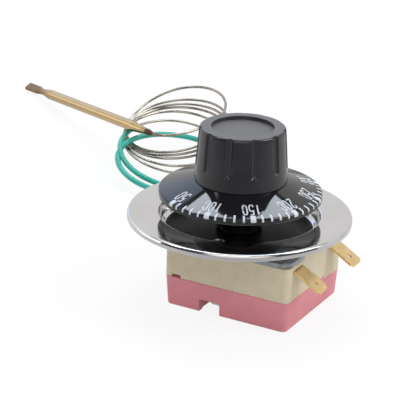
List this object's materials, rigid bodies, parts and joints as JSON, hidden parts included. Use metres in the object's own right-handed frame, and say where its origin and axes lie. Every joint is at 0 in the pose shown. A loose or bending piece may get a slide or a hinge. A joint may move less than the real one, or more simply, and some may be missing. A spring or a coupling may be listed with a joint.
{
  "type": "capillary thermostat",
  "caption": "Panel thermostat: fluted knob on a dial skirt, dished bezel, ceramic housing with tab terminals, and a remote sensing bulb on a coiled capillary.",
  "frame": {"origin": "on the spindle's axis, in the face of the bracket that lies against the panel, midway between the two panel screw holes", "axes": "+Z out of the panel along the spindle, +X towards the tab terminals, +Y across the panel screws towards the side where the capillary leaves"},
  "size_m": [0.2071, 0.1724, 0.0559],
  "materials": {
    "zinc_steel": "satin zinc plating on rolled steel sheet",
    "chromed_steel": "bright chromed sheet",
    "turned_steel": "turned steel",
    "screw_steel": "zinc plated steel",
    "bush_brass": "turned brass",
    "beige_steatite": "satin fired ceramic with fine specks",
    "pink_steatite": "matt fired ceramic",
    "terminal_brass": "rolled brass sheet",
    "spring_bronze": "rolled spring bronze",
    "contact_silver": "pressed silver",
    "capsule_steel": "pressed thin steel",
    "black_phenolic": "moulded phenolic, polished skirt",
    "capillary_metal": "drawn tube",
    "green_sleeving": "smooth insulating sleeving",
    "bulb_copper": "drawn tube, lightly tarnished",
    "brazed_joint": "heat browned brazing"
  },
  "bodies": {
    "housing": {"mounting_bracket": "zinc_steel", "capsule_strap": "zinc_steel", "bezel": "chromed_steel", "pivot_pin": "turned_steel", "housing_screws": "screw_steel", "terminal_screws": "screw_steel", "strap_screws": "screw_steel", "calibration_screw": "screw_steel", "spindle_bush": "bush_brass", "upper_housing": "beige_steatite", "lower_base": "pink_steatite", "terminal_front": "terminal_brass", "terminal_rear": "terminal_brass", "contact_post": "terminal_brass", "fixed_contact": "contact_silver", "pressure_capsule": "capsule_steel", "capillary_lead": "capillary_metal", "capillary_coil": "capillary_metal", "capillary_end": "capillary_metal", "capillary_sleeve": "green_sleeving", "sleeve_coil": "green_sleeving", "sensing_bulb": "bulb_copper", "bulb_ferrule": "brazed_joint"},
    "knob": {"dial_skirt": "black_phenolic", "knob_grip": "black_phenolic", "shaft_clip": "turned_steel", "spindle": "turned_steel", "retaining_ring": "turned_steel", "stop_washer": "zinc_steel"},
    "nut": {"setting_nut": "turned_steel"},
    "pin": {"pressure_pin": "beige_steatite"},
    "arm": {"contact_arm": "spring_bronze", "moving_contact": "contact_silver"}
  },
  "joints": [
    {"name": "knob_turn", "type": "hinge", "parent": "housing", "child": "knob", "pos_m": [0, 0, 0], "axis": [0, 0, 1], "range_deg": [-236, 0]},
    {"name": "nut_lift", "type": "slide", "parent": "housing", "child": "nut", "axis": [0, 0, 1], "range_m": [0, 0.00066]},
    {"name": "pin_rise", "type": "slide", "parent": "housing", "child": "pin", "axis": [0, 0, 1], "range_m": [0, 0.0005]},
    {"name": "arm_swing", "type": "hinge", "parent": "housing", "child": "arm", "pos_m": [0.0155, 0, -0.0092], "axis": [0, 1, 0], "range_deg": [0, 1.9]}
  ],
  "couplings": [
    {"joint": "nut_lift", "follows": "knob_turn", "m_per_rad": -0.00015915},
    {"joint": "arm_swing", "follows": "pin_rise", "rad_per_m": 64.516}
  ]
}
